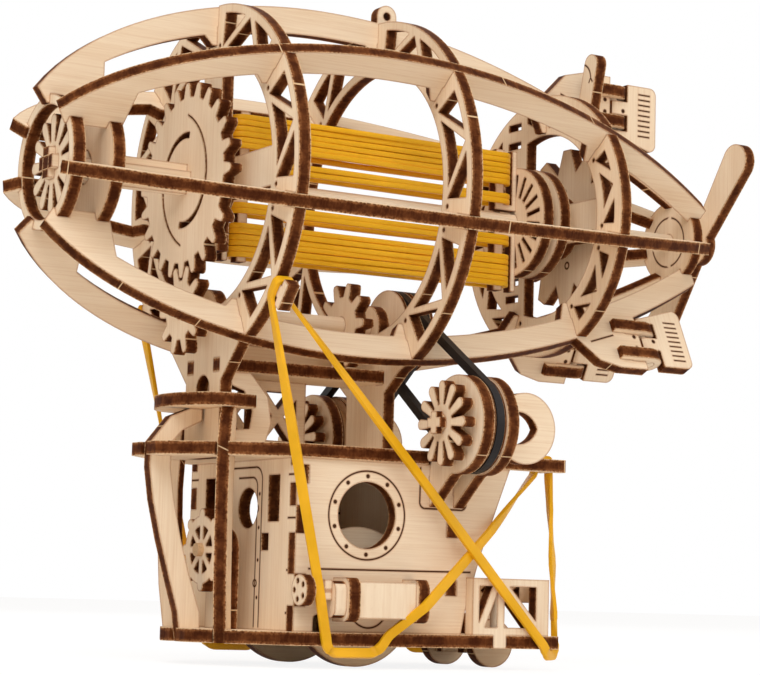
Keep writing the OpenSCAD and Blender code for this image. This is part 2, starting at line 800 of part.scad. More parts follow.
// Bow ribs: outline by distance from the front ring, and by distance inward for the side pair
bow_side = [-1.9, 15];
bow_turn = 50;
bow_mid_outer = [[-3.5, collar_z], [-8.5, -54.3], [-13.3, -60.3], [-13.3, -66], [-12.2, -73.3],
  [-10.1, -81.8], [-7.6, -90.2], [-5.2, -98], [-4.2, floor_z]];
bow_mid_inner = [[0.6, floor_z], [0.4, -98], [-2.6, -89.5], [-5, -81.5], [-7, -73], [-8.1, -66],
  [-8.1, -60.3], [-5.5, -57.4], [-0.6, -55], [-0.6, collar_z]];
bow_side_outer = [[3, collar_z], [1.2, -55.5], [0, -60.3], [-0.4, -70], [-0.2, -80], [0.6, -92],
  [2.4, floor_z]];
bow_side_inner = [[7.2, floor_z], [5.6, -92], [4.8, -80], [4.6, -70], [5, -61], [5, -58], [5.4, -55],
  [5.4, collar_z]];

module bow_ribs() placed() color(birch) {
  plate_y(-ply / 2) polygon(concat(bow_mid_outer, bow_mid_inner));
  for (s = [0, 1]) mirror([0, s, 0]) translate([bow_side[0], bow_side[1], 0]) rotate(-bow_turn)
    plate_y(-ply / 2) polygon(concat(bow_side_outer, bow_side_inner));
}

module bow_notches_2d(mid_to, side_to) {
  translate([-20, -slot_w / 2]) square([20 + mid_to + fit, slot_w]);
  for (s = [0, 1]) mirror([0, s]) translate(bow_side) rotate(-bow_turn)
    translate([-6, -slot_w / 2]) square([6 + side_to + fit, slot_w]);
}

module collar_plate() placed() color(birch) plate_z(collar_z) difference() {
  front = 9.6;
  half = 15;
  rear = 7;
  steps = 24;
  polygon(concat(
    [for (i = [0:steps]) let (a = 90 + 180 * i / steps) [front * cos(a), half * sin(a)]],
    [[rear, -half + 2], [rear, half - 2]]
  ));
  translate([ring_front_x - fit, -stalk_y - fit]) square([rear + 5, 2 * (stalk_y + fit)]);
}

module deck_plate() placed() color(birch) plate_z(deck_z) {
  edge = cabin_y + 1;
  notch_x = [44.6, engine_end_x + belt_pitch + 0.8];
  notch_y = 21;
  bar = 3.4;
  arm_end = 83;
  arm_in = edge - 2.6;
  peg_x = [77.8, 80.8];
  peg_in = arm_in - 4.2;
  far_half = [
    [-14.3, 6], [-3.5, 17], [cabin_x, edge], [notch_x[0], edge], [notch_x[0], notch_y],
    [notch_x[1], notch_y], [notch_x[1], edge], [arm_end, edge], [arm_end, arm_in],
    [peg_x[1], arm_in], [peg_x[1], peg_in], [peg_x[0], peg_in], [peg_x[0], arm_in], [notch_x[1] + bar, arm_in]
  ];
  difference() {
    polygon(concat(far_half, [for (p = reversed(far_half)) [p[0], -p[1]]]));
    bow_notches_2d(-8.1, 5);
    for (x = [ring_front_x, ring_rear_x]) translate([x - fit, -stalk_tab_y - fit])
      square([slot_w, 2 * (stalk_tab_y + fit)]);
  }
}

module floor_plate() placed() color(birch) plate_z(floor_z) difference() {
  hanger = 4.6;
  wheel_half = sqrt(wheel_r * wheel_r - pow(wheel_z - floor_top, 2)) + wheel_gap;
  polygon([[floor_end, -floor_y], [cabin_x, -floor_y], [0, -17.4], [-5.4, -6], [-5.4, 6], [0, 17.4],
    [cabin_x, floor_y], [floor_end, floor_y]]);
  bow_notches_2d(0.6, 7.2);
  for (s = [-1, 1]) {
    translate([wheel_x - wheel_half, s * wheel_y - ply / 2 - wheel_gap])
      square([2 * wheel_half, ply + 2 * wheel_gap]);
    translate([tail_wheel_x - tail_wheel_r - wheel_gap, s * tail_wheel_y - ply / 2 - wheel_gap])
      square([2 * (tail_wheel_r + wheel_gap), ply + 2 * wheel_gap]);
    translate([tail_wheel_x - hanger - fit, s * hanger_y - ply / 2 - fit])
      square([2 * (hanger + fit), slot_w]);
    translate([truss_tab_x - fit, s * (floor_y - ply / 2) - ply / 2 - fit])
      square([truss_tab_w + 2 * fit, ply + 2 * fit]);
  }
  translate([tail_wheel_x - tail_axle_r - wheel_gap, -tail_wheel_y - 3])
    square([2 * (tail_axle_r + wheel_gap), 2 * tail_wheel_y + 6]);
}

// Cabin walls
hanger_y = 5;
truss_tab_x = 62;
truss_tab_w = 3.6;
finger_z = [[-69, -65], [-80, -74], [-96, -89]];
tank_z = [-99.2, -89.5];
tank_tab = [-96, -92];
tank_caps = [21, 39];

module wall_2d() difference() {
  polygon([
    [cabin_x, floor_top], [cabin_x, deck_z], [67.8, deck_z], [59.9, -83.8], [56.1, -96.2], [55, floor_top]
  ]);
  translate(porthole) circle(porthole_r);
  translate([wheel_x, wheel_z]) circle(axle_r + run);
  for (f = finger_z) translate([cabin_x - 1, f[0] - fit]) square([ply + 1 + fit, f[1] - f[0] + 2 * fit]);
  for (f = rear_finger_z) translate([rear_wall_x - fit, f[0] - fit]) square([slot_w, f[1] - f[0] + 2 * fit]);
  translate([16, floor_top - 1]) square([2.6, 3.6]);
  translate([17.3, floor_top + 2.6]) circle(1.3);
}

module engine_slots_2d(shift) for (x = [engine_x, engine_x + ply + belt_gap])
  translate([x + shift - fit, arm_tab_top - arm_tab_h - fit]) square([slot_w, arm_tab_h + 2 * fit]);

module side_wall_near() placed() color(birch) plate_y(-cabin_y) difference() {
  wall_2d();
  engine_slots_2d(0);
  for (x = tank_caps) translate([x - fit, tank_tab[0] - fit])
    square([slot_w, tank_tab[1] - tank_tab[0] + 2 * fit]);
}

module side_wall_far() placed() color(birch) plate_y(wall_y) difference() {
  wall_2d();
  engine_slots_2d(belt_pitch);
}

module front_wall() placed() color(birch) plate_x(cabin_x) difference() {
  union() {
    translate([-wall_y, floor_top]) square([2 * wall_y, deck_z - floor_top]);
    for (f = finger_z) translate([-cabin_y, f[0]]) square([2 * cabin_y, f[1] - f[0]]);
  }
  translate([-3.2, -74.2]) circle(4.6);
  for (s = [-1, 1]) {
    translate([s * 15.3 - 2.6, -77.4]) square([5.2, 10.4]);
    translate([s * 11.6 - 1.7, -83.8]) square([3.4, 3.8]);
  }
}

rear_wall_x = 50.6;
rear_finger_z = [[-79.6, -76.2], [-92.8, -89.4]];
module rear_wall() placed() color(birch) plate_x(rear_wall_x) {
  translate([-wall_y, floor_top]) square([2 * wall_y, deck_z - floor_top]);
  for (f = rear_finger_z) translate([-cabin_y, f[0]]) square([2 * cabin_y, f[1] - f[0]]);
}

// Helm
helm_z = -84;
helm_r = 9.4;
helm_shaft_r = 1.5;
helm_post_x = 5.2;
module helm_post() placed() color(birch) plate_x(helm_post_x) difference() {
  union() {
    translate([-5, floor_top]) square([10, helm_z - floor_top]);
    translate([0, helm_z]) circle(5);
  }
  translate([0, helm_z]) circle(helm_shaft_r + run);
}

module helm_wheel() placed() color(birch) translate([0, 0, helm_z]) {
  knobs = 8;
  x = 1;
  rod_x(x - 1.4, helm_post_x + ply + 0.4, helm_shaft_r);
  plate_x(x) {
    difference() {
      circle(helm_r - 1.6);
      circle(helm_r - 4);
    }
    circle(2.6);
    for (i = [0:knobs - 1]) rotate(i * 360 / knobs) {
      translate([1, -0.8]) square([helm_r - 2.4, 1.6]);
      translate([helm_r - 1.3, 0]) circle(1.3);
    }
  }
}

// Side tank with its valve wheel
valve_y = -29.3;
valve_z = -92.5;
valve_stem_r = 0.8;
valve_x = 10.2;
tank_front_y = -32.6;

module tank_cap_2d(inset) {
  corner = 2.2;
  low = tank_z[0] + inset;
  high = tank_z[1] - inset;
  front = tank_front_y + inset;
  translate([front + corner, low]) square([-cabin_y - front - corner, high - low]);
  translate([front, low + corner]) square([corner + 1, high - low - 2 * corner]);
  for (z = [low + corner, high - corner]) translate([front + corner, z]) circle(corner);
}

module tank() placed() color(birch) {
  post_x = 15.9;
  post_w = 2;
  shell = 0.8;
  for (x = tank_caps) plate_x(x) {
    tank_cap_2d(0);
    translate([-cabin_y - 1, tank_tab[0]]) square([ply + 1, tank_tab[1] - tank_tab[0]]);
  }
  plate_y(tank_front_y + shell) translate([tank_caps[0] + ply + fit, tank_z[0] + shell])
    square([tank_caps[1] - tank_caps[0] - ply - 2 * fit, tank_z[1] - tank_z[0] - 2 * shell]);
  plate_x(tank_caps[0] - ply - fit) tank_cap_2d(shell);
  plate_x(post_x, post_w) difference() {
    translate([valve_y - 1.15, valve_z - 2]) square([-cabin_y - valve_y + 1.15, 4.4]);
    translate([valve_y, valve_z]) circle(valve_stem_r + run);
  }
}

module valve_wheel() placed() color(birch) translate([0, valve_y, valve_z]) {
  rod_x(valve_x, 17.6, valve_stem_r);
  plate_x(valve_x, 2.4) difference() {
    circle(3.4);
    for (i = [0:4]) rotate(i * 72) translate([2.1, 0]) circle(0.6);
  }
}

// Truss frame and axle hangers behind the cabin
module aft_truss() placed() color(birch) {
  x0 = 56.2;
  x1 = 74.4;
  top = -88.6;
  low = floor_top;
  bar = 1.8;
  mid = 64;
  for (s = [0, 1]) mirror([0, s, 0]) {
    plate_y(floor_y - ply) {
      difference() {
        translate([x0, low]) square([x1 - x0 + ply, top - low]);
        polygon([[x0 + bar, low + bar + 1], [x0 + bar, top - bar], [mid - 2.4, top - bar]]);
        polygon([[x0 + bar + 1.6, low + bar], [mid - 1, low + bar], [mid - 1, top - bar - 1.4]]);
        polygon([[mid + 1, low + bar], [x1 - bar - 1, low + bar], [mid + 1, top - bar - 2]]);
        polygon([[mid + 2.4, top - bar], [x1 - 0.6, top - bar], [x1 - 0.6, low + bar + 1.6]]);
      }
      translate([truss_tab_x, floor_z]) square([truss_tab_w, ply + 1]);
    }
    plate_y(hanger_y - ply / 2) difference() {
      translate([tail_wheel_x - 4.6, -106.2]) square([9.2, 9.4]);
      translate([tail_wheel_x, tail_wheel_z]) circle(tail_axle_r + run);
    }
  }
  plate_x(x1) difference() {
    half = floor_y - ply - fit;
    translate([-half, top - 5.4]) square([2 * half, 5.4]);
    for (i = [-3:3]) translate([i * 6.6, top - 2.7]) circle(2, $fn = 3);
  }
}

// Wheels
module wheel_axle() placed() color(birch) translate([wheel_x, 0, wheel_z]) {
  rod_y(-cabin_y + 0.2, cabin_y - 0.2, axle_r);
  for (s = [-1, 1]) plate_y(s * wheel_y - ply / 2) difference() {
    circle(wheel_r);
    circle(axle_r + fit);
    for (i = [0:4]) rotate(i * 72) translate([8.4, 0]) circle(3);
  }
}

module tail_axle() placed() color(birch) translate([tail_wheel_x, 0, tail_wheel_z]) {
  rod_y(-tail_wheel_y - 2.4, tail_wheel_y + 2.4, tail_axle_r);
  for (s = [-1, 1]) plate_y(s * tail_wheel_y - ply / 2) difference() {
    circle(tail_wheel_r);
    circle(tail_axle_r + fit);
  }
}

// Rigging bands, one closed loop on each side
rig_side = cord_r + 0.4;
rig_r = ring_front_r + 1.65;
function rig_at(x, up) = [x, rig_r * cos(rig_hook_a) - up * (rig_neck + rig_side) * sin(rig_hook_a),
  rig_r * sin(rig_hook_a) + up * (rig_neck + rig_side) * cos(rig_hook_a)];
rig_points = [
  rig_at(-rig_side, 1), rig_at(-rig_side, -1),
  [17.5, 31.4, -104], [18.5, 30.6, -106.1], [31, 30.2, -105.9], [32, 31, -104],
  [40.4, 34.4, -95.5], [76.4, 22.6, -64.6], [76.4, 22.6, -58.9], [82.2, 22.6, -58.9],
  [82.2, 22.6, -64.6], [81.8, 25.4, -104], [81.2, 25.8, -106.2], [76.4, 29.6, -106.2], [75.4, 30.2, -104],
  rig_at(ply + rig_side, -1), rig_at(ply + rig_side, 1)
];

module cord_between(a, b) {
  d = b - a;
  l = norm(d);
  translate(a) rotate([0, acos(d[2] / l), atan2(d[1], d[0])]) cylinder(h = l, r = cord_r, $fn = 24);
}

module rigging(side) placed() color(rubber_yellow) mirror([0, side < 0 ? 1 : 0, 0])
  for (i = [0:len(rig_points) - 1]) {
    cord_between(rig_points[i], rig_points[(i + 1) % len(rig_points)]);
    translate(rig_points[i]) sphere(cord_r + 0.2, $fn = 24);
  }
module rigging_near() rigging(-1);
module rigging_far() rigging(1);

rib_top();
rib_upper_near();
rib_near();
rib_lower_near();
rib_lower_far();
rib_far();
rib_upper_far();
nose_ring();
nose_disc();
ring_front();
ring_rear();
ring_tail();
tail_bulkhead();
tail_disc();
front_hooks();
motor_bands();
nose_fan();
front_axle();
drive_gear();
main_shaft();
rear_drum();
rear_hooks();
star_wheel();
propeller();
brake_lever();
lever_pin();
hinge_brackets();
hinge_pins();
flap_top();
flap_near();
flap_far();
layshaft();
lay_pinion();
lay_gear();
lay_pulley();
belt_near();
belt_far();
engine_plates();
engine_tails();
engine_near();
engine_far();
neck_shelf();
neck_truss();
collar_plate();
deck_plate();
floor_plate();
side_wall_near();
side_wall_far();
front_wall();
rear_wall();
bow_ribs();
helm_post();
helm_wheel();
tank();
valve_wheel();
aft_truss();
wheel_axle();
tail_axle();
rigging_near();
rigging_far();
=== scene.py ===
import math

import bpy
from mathutils import Matrix, Vector


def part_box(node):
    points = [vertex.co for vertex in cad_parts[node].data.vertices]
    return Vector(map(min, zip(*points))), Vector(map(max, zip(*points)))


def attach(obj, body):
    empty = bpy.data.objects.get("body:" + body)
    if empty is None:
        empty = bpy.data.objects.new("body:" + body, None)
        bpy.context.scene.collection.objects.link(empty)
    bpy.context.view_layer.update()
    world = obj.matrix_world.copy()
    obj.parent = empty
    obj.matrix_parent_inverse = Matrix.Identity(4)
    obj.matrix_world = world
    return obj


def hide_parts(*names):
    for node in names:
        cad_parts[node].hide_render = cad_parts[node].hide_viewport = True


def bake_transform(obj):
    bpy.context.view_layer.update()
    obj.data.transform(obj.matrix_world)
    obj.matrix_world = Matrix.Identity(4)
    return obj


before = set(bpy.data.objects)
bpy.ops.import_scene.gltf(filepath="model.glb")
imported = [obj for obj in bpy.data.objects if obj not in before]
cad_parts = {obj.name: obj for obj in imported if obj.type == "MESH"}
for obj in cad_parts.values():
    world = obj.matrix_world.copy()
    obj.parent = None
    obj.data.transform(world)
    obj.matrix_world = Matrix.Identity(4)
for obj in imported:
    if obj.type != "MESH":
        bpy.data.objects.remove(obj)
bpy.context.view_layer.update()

bl_info = {
    "name": "Plywood Airship",
    "version": (1, 0, 0),
    "blender": (4, 5, 0),
    "location": "View3D > Sidebar > Airship",
    "description": "Dresses the laser-cut plywood airship: veneer, burnt edges, engraving and rubber bands",
    "category": "Object",
}

MM = 0.001
AXIS_X, AXIS_Y, AXIS_Z = Vector((1, 0, 0)), Vector((0, 1, 0)), Vector((0, 0, 1))

# The hull's axis is the main shaft's, and the front ring's front face is where lengths are counted from
SHAFT_LOW, SHAFT_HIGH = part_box("main_shaft")
HULL_Z = (SHAFT_LOW.z + SHAFT_HIGH.z) / 2
RING_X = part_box("ring_front")[0].x

# Ribs in order round the hull from the top, the rib that carries each flap, and the side bow ribs' turn
RIBS = (
    "rib_top", "rib_upper_near", "rib_near", "rib_lower_near", "rib_lower_far", "rib_far", "rib_upper_far",
)
FLAP_RIB = {"flap_top": 0, "flap_near": 3, "flap_far": 4}
BOW_TURN = math.radians(50)

# Pieces by the way that their plates face, along X, Y or Z, then the rods with their grain
CROSS_PLATES = (
    "nose_ring", "nose_disc", "ring_front", "ring_rear", "ring_tail", "tail_bulkhead", "tail_disc",
    "nose_fan", "drive_gear", "rear_drum", "star_wheel", "propeller", "brake_lever",
    "lay_pinion", "lay_gear", "lay_pulley", "engine_plates", "engine_near", "engine_far",
    "front_wall", "rear_wall", "helm_post", "helm_wheel", "valve_wheel",
)
LONG_PLATES = (
    "front_hooks", "rear_hooks", "engine_tails", "neck_truss", "side_wall_near", "side_wall_far",
    "wheel_axle", "tail_axle",
)
FLAT_PLATES = ("neck_shelf", "collar_plate", "deck_plate", "floor_plate")
RODS = {"main_shaft": AXIS_X, "layshaft": AXIS_X, "lever_pin": AXIS_X, "hinge_pins": AXIS_Z}
BELTS = ("belt_near", "belt_far")

# The camera's sensor in millimetres, and its nearest distance and the floor in metres
SENSOR, NEAREST = 36, 0.01
FLOOR_SIZE, FLOOR_DROP = 8, 0.2 * MM

# Shine, depth of the surface and roughness of the wood and the rubber
PLY_SPECULAR, DOWEL_SPECULAR, RUBBER_SPECULAR = 0.05, 0.25, 0.25
WOOD_RELIEF, RUBBER_RELIEF = 0.03 * MM, 0.02 * MM
BAND_ROUGHNESS, BELT_ROUGHNESS = 0.36, 0.45

# Fine lines in the rubber, as cells of noise per metre along X, Y and Z
MOTOR_LINES, RIGGING_LINES, BELT_LINES = (25, 500, 500), (90, 90, 90), (900, 120, 120)


def rib_radial(index):
    """The direction from the hull's axis towards a rib."""
    angle = math.radians(90 - index * 360 / len(RIBS))
    return Vector((0, -math.cos(angle), math.sin(angle)))


def rib_normal(index):
    """The direction across a rib's thickness."""
    return AXIS_X.cross(rib_radial(index))


def at(x, y, z):
    """A place given in millimetres from the front ring's face and the hull's axis."""
    return Vector((RING_X + x * MM, y * MM, HULL_Z + z * MM))


class AirshipLooks(bpy.types.PropertyGroup):
    """Colours and finishes of the model's sheet and rubber."""

    veneer: bpy.props.FloatVectorProperty(
        name="Veneer", description="Birch face of the plywood", subtype="COLOR", size=3,
        default=(0.97, 0.79, 0.585), min=0, max=1)
    veneer_streak: bpy.props.FloatVectorProperty(
        name="Veneer streak", description="Darker fibres in the birch face", subtype="COLOR", size=3,
        default=(0.73, 0.475, 0.275), min=0, max=1)
    burn: bpy.props.FloatVectorProperty(
        name="Burn", description="Laser-burnt middle of a cut edge", subtype="COLOR", size=3,
        default=(0.056, 0.0125, 0.0028), min=0, max=1)
    burn_light: bpy.props.FloatVectorProperty(
        name="Light burn", description="Paler streaks of a cut edge", subtype="COLOR", size=3,
        default=(0.190, 0.058, 0.0165), min=0, max=1)
    toast: bpy.props.FloatVectorProperty(
        name="Toast", description="Lighter burn near the borders of a cut edge", subtype="COLOR", size=3,
        default=(0.42, 0.165, 0.058), min=0, max=1)
    border: bpy.props.FloatVectorProperty(
        name="Edge border", description="Veneer showing along both borders of a cut edge", subtype="COLOR",
        size=3, default=(0.80, 0.545, 0.310), min=0, max=1)
    engraving: bpy.props.FloatVectorProperty(
        name="Engraving", description="Engraved lines and dots", subtype="COLOR", size=3,
        default=(0.040, 0.0125, 0.0045), min=0, max=1)
    rubber: bpy.props.FloatVectorProperty(
        name="Band rubber", description="Rubber of the motor and rigging bands", subtype="COLOR", size=3,
        default=(0.90, 0.455, 0.004), min=0, max=1)
    belt: bpy.props.FloatVectorProperty(
        name="Belt rubber", description="Rubber of the drive belts", subtype="COLOR", size=3,
        default=(0.009, 0.0050, 0.0042), min=0, max=1)
    sheet: bpy.props.FloatProperty(
        name="Sheet thickness", description="Thickness of the plywood", subtype="DISTANCE", unit="LENGTH",
        default=3 * MM, min=1 * MM, max=6 * MM)
    singe: bpy.props.FloatProperty(
        name="Singe", description="How far the burn browns a face beside a cut", subtype="DISTANCE",
        unit="LENGTH", default=0.45 * MM, min=0.1 * MM, max=2 * MM)
    nick_gap: bpy.props.FloatProperty(
        name="Nick spacing", description="Distance between the uncut nicks along an edge",
        subtype="DISTANCE", unit="LENGTH", default=27 * MM, min=5 * MM, max=80 * MM)
    nick_width: bpy.props.FloatProperty(
        name="Nick width", description="Width of an uncut nick", subtype="DISTANCE", unit="LENGTH",
        default=0.3 * MM, min=0.1 * MM, max=1 * MM)
    band_width: bpy.props.FloatProperty(
        name="Rigging band width", description="Width of a flat rigging band", subtype="DISTANCE",
        unit="LENGTH", default=2.2 * MM, min=1 * MM, max=4 * MM)
    band_thickness: bpy.props.FloatProperty(
        name="Rigging band thickness", description="Thickness of a flat rigging band", subtype="DISTANCE",
        unit="LENGTH", default=0.9 * MM, min=0.3 * MM, max=2 * MM)
    line: bpy.props.FloatProperty(
        name="Engraved line", description="Width of an engraved line", subtype="DISTANCE", unit="LENGTH",
        default=0.33 * MM, min=0.1 * MM, max=1 * MM)


class AirshipStage(bpy.types.PropertyGroup):
    """Camera, floor and light."""

    camera_place: bpy.props.FloatVectorProperty(
        name="Camera place", description="Where the camera stands", subtype="TRANSLATION", unit="LENGTH",
        size=3, default=tuple(at(-242.2, -474.3, -94.1)))
    yaw: bpy.props.FloatProperty(
        name="Yaw", description="Camera's turn from +Y towards +X", subtype="ANGLE", unit="ROTATION",
        default=math.radians(31.37))
    pitch: bpy.props.FloatProperty(
        name="Pitch", description="Camera's tilt above the horizon", subtype="ANGLE", unit="ROTATION",
        default=math.radians(6.39))
    roll: bpy.props.FloatProperty(
        name="Roll", description="Camera's roll", subtype="ANGLE", unit="ROTATION",
        default=math.radians(1.53))
    lens: bpy.props.FloatProperty(
        name="Lens", description="Focal length on a 36 mm sensor", subtype="DISTANCE_CAMERA", unit="CAMERA",
        default=110.75, min=10, max=300)
    floor: bpy.props.FloatVectorProperty(
        name="Floor", description="Colour of the floor and backdrop", subtype="COLOR", size=3,
        default=(1, 1, 1), min=0, max=1)
    world_tint: bpy.props.FloatVectorProperty(
        name="World tint", description="Colour of the even light from all round", subtype="COLOR", size=3,
        default=(1, 0.90, 0.79), min=0, max=1)
    world_light: bpy.props.FloatProperty(
        name="World light", description="Strength of the even light from all round",
        default=0.46, min=0, max=3)
    lamp_tint: bpy.props.FloatVectorProperty(
        name="Lamp tint", description="Colour of the lamps", subtype="COLOR", size=3,
        default=(0.95, 0.98, 1), min=0, max=1)
    key_light: bpy.props.FloatProperty(
        name="Key light", description="Power of the big soft lamp", subtype="POWER", unit="POWER",
        default=9.2, min=0, max=100)
    fill_light: bpy.props.FloatProperty(
        name="Fill light", description="Power of the lamp on the other side", subtype="POWER", unit="POWER",
        default=1.6, min=0, max=100)


class Flow:
    """An output in a material's node tree; arithmetic on it adds Math nodes."""

    def __init__(self, tree, socket):
        self.tree, self.socket = tree, socket

    def math(self, operation, *others):
        return self.tree.make("ShaderNodeMath", {"operation": operation}, [self, *others])

    def __add__(self, other):
        return self.math("ADD", other)

    def __mul__(self, other):
        return self.math("MULTIPLY", other)

    def __sub__(self, other):
        return self.math("SUBTRACT", other)

    def __rsub__(self, other):
        return self.tree.make("ShaderNodeMath", {"operation": "SUBTRACT"}, [other, self])

    def __truediv__(self, other):
        return self.math("DIVIDE", other)

    def __mod__(self, other):
        return self.math("FLOORED_MODULO", other)

    def __abs__(self):
        return self.math("ABSOLUTE")

    def __gt__(self, other):
        return self.math("GREATER_THAN", other)

    def __lt__(self, other):
        return self.math("LESS_THAN", other)

    __radd__ = __add__

    def either(self, other):
        return self.math("MAXIMUM", other)

    def power(self, other):
        return self.math("POWER", other)

    def ramp(self, low, high):
        """0 below low, 1 above high and smooth between them."""
        smooth = {"interpolation_type": "SMOOTHSTEP"}
        return self.tree.make("ShaderNodeMapRange", smooth, [self, low, high, 0, 1])


class Tree:
    """A material's nodes, made one by one and linked as they are made."""

    def __init__(self, name, specular=0.5):
        self.material = bpy.data.materials.new(name)
        self.material.use_nodes = True
        self.nodes, self.links = self.material.node_tree.nodes, self.material.node_tree.links
        self.shader = self.nodes["Principled BSDF"]
        self.shader.inputs["Specular IOR Level"].default_value = specular
        self.coords = self.nodes.new("ShaderNodeTexCoord")

    def join(self, value, socket):
        """Links a value or sets it on a socket."""
        if isinstance(value, Flow):
            self.links.new(value.socket, socket)
        else:
            socket.default_value = value

    def make(self, kind, settings, inputs, output=0):
        """A node of a kind: its settings first, then its sockets by order or by name."""
        node = self.nodes.new(kind)
        for name, value in settings.items():
            setattr(node, name, value)
        pairs = inputs.items() if isinstance(inputs, dict) else enumerate(inputs)
        for key, value in pairs:
            self.join(value, node.inputs[key])
        return Flow(self, node.outputs[output])

    def place(self):
        """Object coordinates."""
        return Flow(self, self.coords.outputs["Object"])

    def normal(self):
        """The surface's direction in object space."""
        return Flow(self, self.coords.outputs["Normal"])

    def along(self, vector, direction):
        """How far a vector reaches along a direction."""
        sockets = [vector, tuple(direction)]
        return self.make("ShaderNodeVectorMath", {"operation": "DOT_PRODUCT"}, sockets, "Value")

    def vector(self, x, y, z):
        return self.make("ShaderNodeCombineXYZ", {}, [x, y, z])

    def noise(self, vector, scale, detail, roughness):
        sockets = {"Vector": vector, "Scale": scale, "Detail": detail, "Roughness": roughness}
        return self.make("ShaderNodeTexNoise", {}, sockets, "Fac")

    def stretched(self, place, counts, detail, roughness):
        """Noise with its own count of cells per metre along each of three directions."""
        cells = self.vector(*(part * count for part, count in zip(place, counts)))
        return self.noise(cells, 1.0, detail, roughness)

    def near_edge(self, reach):
        """How close a place is to an outer corner of its own piece: 0 further off than the reach."""
        inwards = {"samples": 4, "inside": True, "only_local": True}
        return 1 - self.make("ShaderNodeAmbientOcclusion", inwards, {"Distance": reach}, "AO")

    def mix(self, factor, low, high):
        """A colour between two colours."""
        low, high = ((*tone, 1) if isinstance(tone, tuple) else tone for tone in (low, high))
        colours = {"data_type": "RGBA", "clamp_factor": True}
        return self.make("ShaderNodeMix", colours, {0: factor, 6: low, 7: high}, 2)

    def finish(self, colour, roughness, height, depth):
        """Feeds the shader, with a bump of a depth in metres."""
        bump = self.make("ShaderNodeBump", {}, {"Strength": 1.0, "Distance": depth, "Height": height})
        self.join(colour, self.shader.inputs["Base Color"])
        self.join(roughness, self.shader.inputs["Roughness"])
        self.join(bump, self.shader.inputs["Normal"])
        return self.material


def plates_of(node, normals, sheet):
    """The flat plates of a node, each as its normal, its low offset and its thickness."""
    least_area, square_on = 1.2 * MM * MM, 0.999
    thinnest, thickest = 0.3, sheet / MM * 1.1
    found = []
    for normal in normals:
        areas = {-1: {}, 1: {}}
        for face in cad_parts[node].data.polygons:
            lean = face.normal.dot(normal)
            if abs(lean) > square_on:
                side = areas[1 if lean > 0 else -1]
                offset = round(face.center.dot(normal) / MM, 2)
                side[offset] = side.get(offset, 0) + face.area
        lows, highs = (
            sorted(offset for offset, area in areas[way].items() if area > least_area) for way in (-1, 1))
        for low in lows:
            high = next((offset for offset in highs if offset > low + thinnest), None)
            if high is not None and high - low < thickest:
                found.append((normal, low * MM, (high - low) * MM))
    return found


class Engraver:
    """Engraved lines on a plate, as the distance to the nearest of them, in millimetres."""

    def __init__(self, u, v, width):
        self.u, self.v, self.width = u, v, width
        self.nearest = None

    def add(self, distance):
        self.nearest = distance if self.nearest is None else self.nearest.math("MINIMUM", distance)

    def distance(self, u, v):
        du, dv = self.u - u, self.v - v
        return (du * du + dv * dv).power(0.5)

    def circle(self, u, v, radius):
        self.add(abs(self.distance(u, v) - radius))

    def arc(self, u, v, radius, towards, reach):
        """The part of a circle within an angle of a direction; both angles are in degrees."""
        du, dv = math.cos(math.radians(towards)), math.sin(math.radians(towards))
        ahead = (self.u - u) * du + (self.v - v) * dv
        past = radius * math.cos(math.radians(reach)) - ahead
        self.add(abs(self.distance(u, v) - radius).either(past + self.width / 2))

    def dots(self, u, v, radius, count, size):
        """A ring of dots."""
        step = 2 * math.pi / count
        angle = (self.v - v).math("ARCTAN2", self.u - u)
        local = angle % step - step / 2
        du = self.distance(u, v) - radius
        dv = local * radius
        self.add((du * du + dv * dv).power(0.5) - (size - self.width / 2))

    def dot(self, u, v, size):
        self.add(self.distance(u, v) - (size - self.width / 2))

    def stroke(self, u0, v0, u1, v1):
        """A straight line between two points."""
        length = math.hypot(u1 - u0, v1 - v0)
        cu, cv = (u1 - u0) / length, (v1 - v0) / length
        du, dv = self.u - (u0 + u1) / 2, self.v - (v0 + v1) / 2
        along, off = du * cu + dv * cv, dv * cu - du * cv
        self.add(abs(off).either(abs(along) - (length - self.width) / 2))


# Places and sizes of the engraving are in millimetres, from the front ring's face and the hull's axis
PIN_DOT = 0.5


def engrave_wall(pen):
    """Porthole ring with rivets, the waist line and the engine bracket's outline on a cabin side."""
    port, ring, rivet_ring, rivets, rivet = (29.2, -75.5), 9.9, 8.75, 10, 0.45
    pen.circle(*port, ring)
    pen.dots(*port, rivet_ring, rivets, rivet)
    waist_front, waist_rear = (14.5, -87.8), (57.3, -87.4)
    pen.stroke(*waist_front, *waist_rear)
    left, right, low, corner = 43.1, 55.7, -73.3, 1.4
    left_top, right_top = -64, -70.6
    pen.stroke(left, low + corner, left, left_top)
    pen.arc(left + corner, low + corner, corner, 225, 45)
    pen.stroke(left + corner, low, right - corner, low)
    pen.arc(right - corner, low + corner, corner, 315, 45)
    pen.stroke(right, low + corner, right, right_top)


def engrave_tank_wall(pen):
    """The near cabin side, with the tank's hose."""
    engrave_wall(pen)
    hose, bend = (30.2, -95.5), 5
    pen.arc(*hose, bend, 270, 48)


